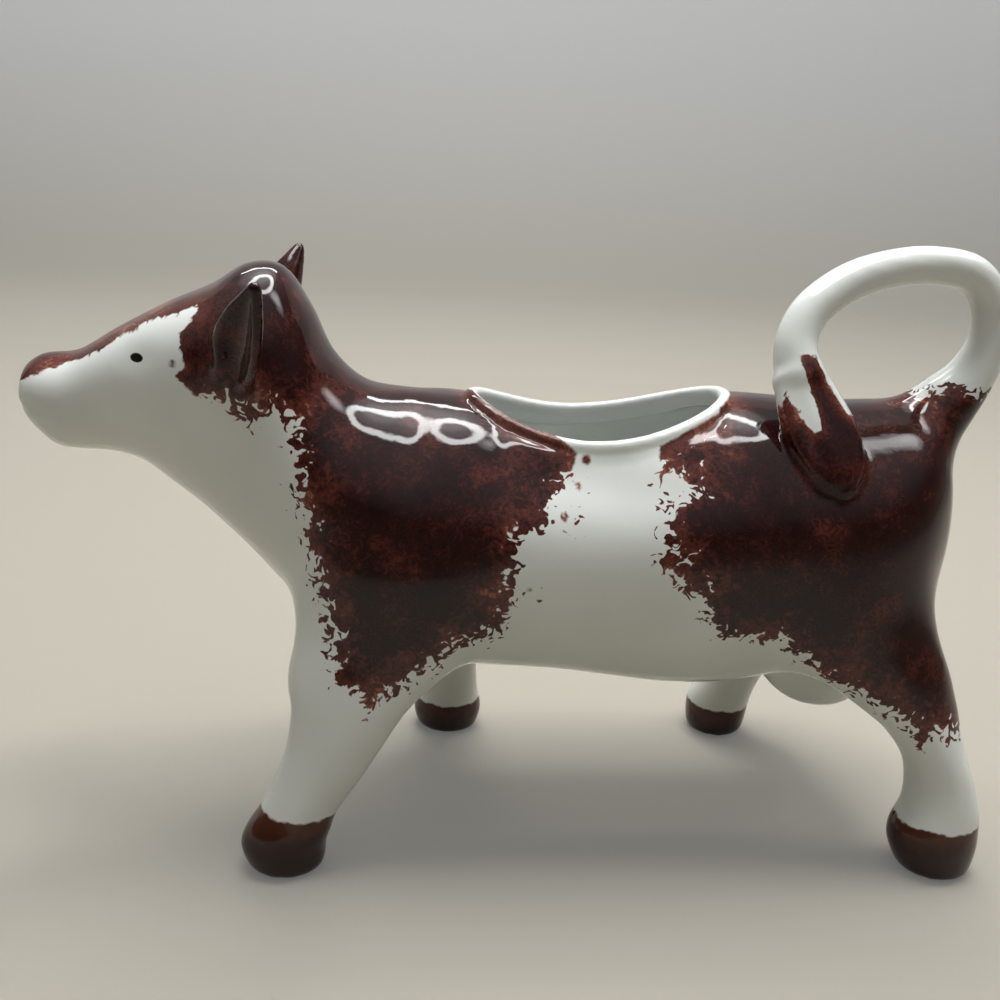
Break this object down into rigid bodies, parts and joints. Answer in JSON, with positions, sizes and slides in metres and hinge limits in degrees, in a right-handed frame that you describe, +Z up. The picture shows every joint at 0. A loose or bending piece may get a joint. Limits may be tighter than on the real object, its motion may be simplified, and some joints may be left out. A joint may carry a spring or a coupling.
{
  "type": "cow creamer",
  "caption": "Cow-shaped porcelain cream jug: filled through an oval mouth in the back, poured from the muzzle, held by a looped tail.",
  "frame": {"origin": "centre of the bounding box on the plane the hooves stand on", "axes": "-X towards the cow's muzzle, -Y towards the cow's left side, +Z up"},
  "size_m": [0.172, 0.0621, 0.1089],
  "materials": {
    "white_glaze": "glossy clear glaze over white porcelain",
    "brown_glaze": "glossy clear glaze over oxblood brown underglaze colour"
  },
  "bodies": {
    "root": {"body_shell": "white_glaze", "head_shell": "white_glaze", "left_front_leg": "white_glaze", "right_front_leg": "white_glaze", "left_hind_leg": "white_glaze", "right_hind_leg": "white_glaze", "udder": "white_glaze", "left_ear": "brown_glaze", "right_ear": "brown_glaze", "tail_handle": "white_glaze", "tail_brush": "brown_glaze"}
  },
  "joints": []
}
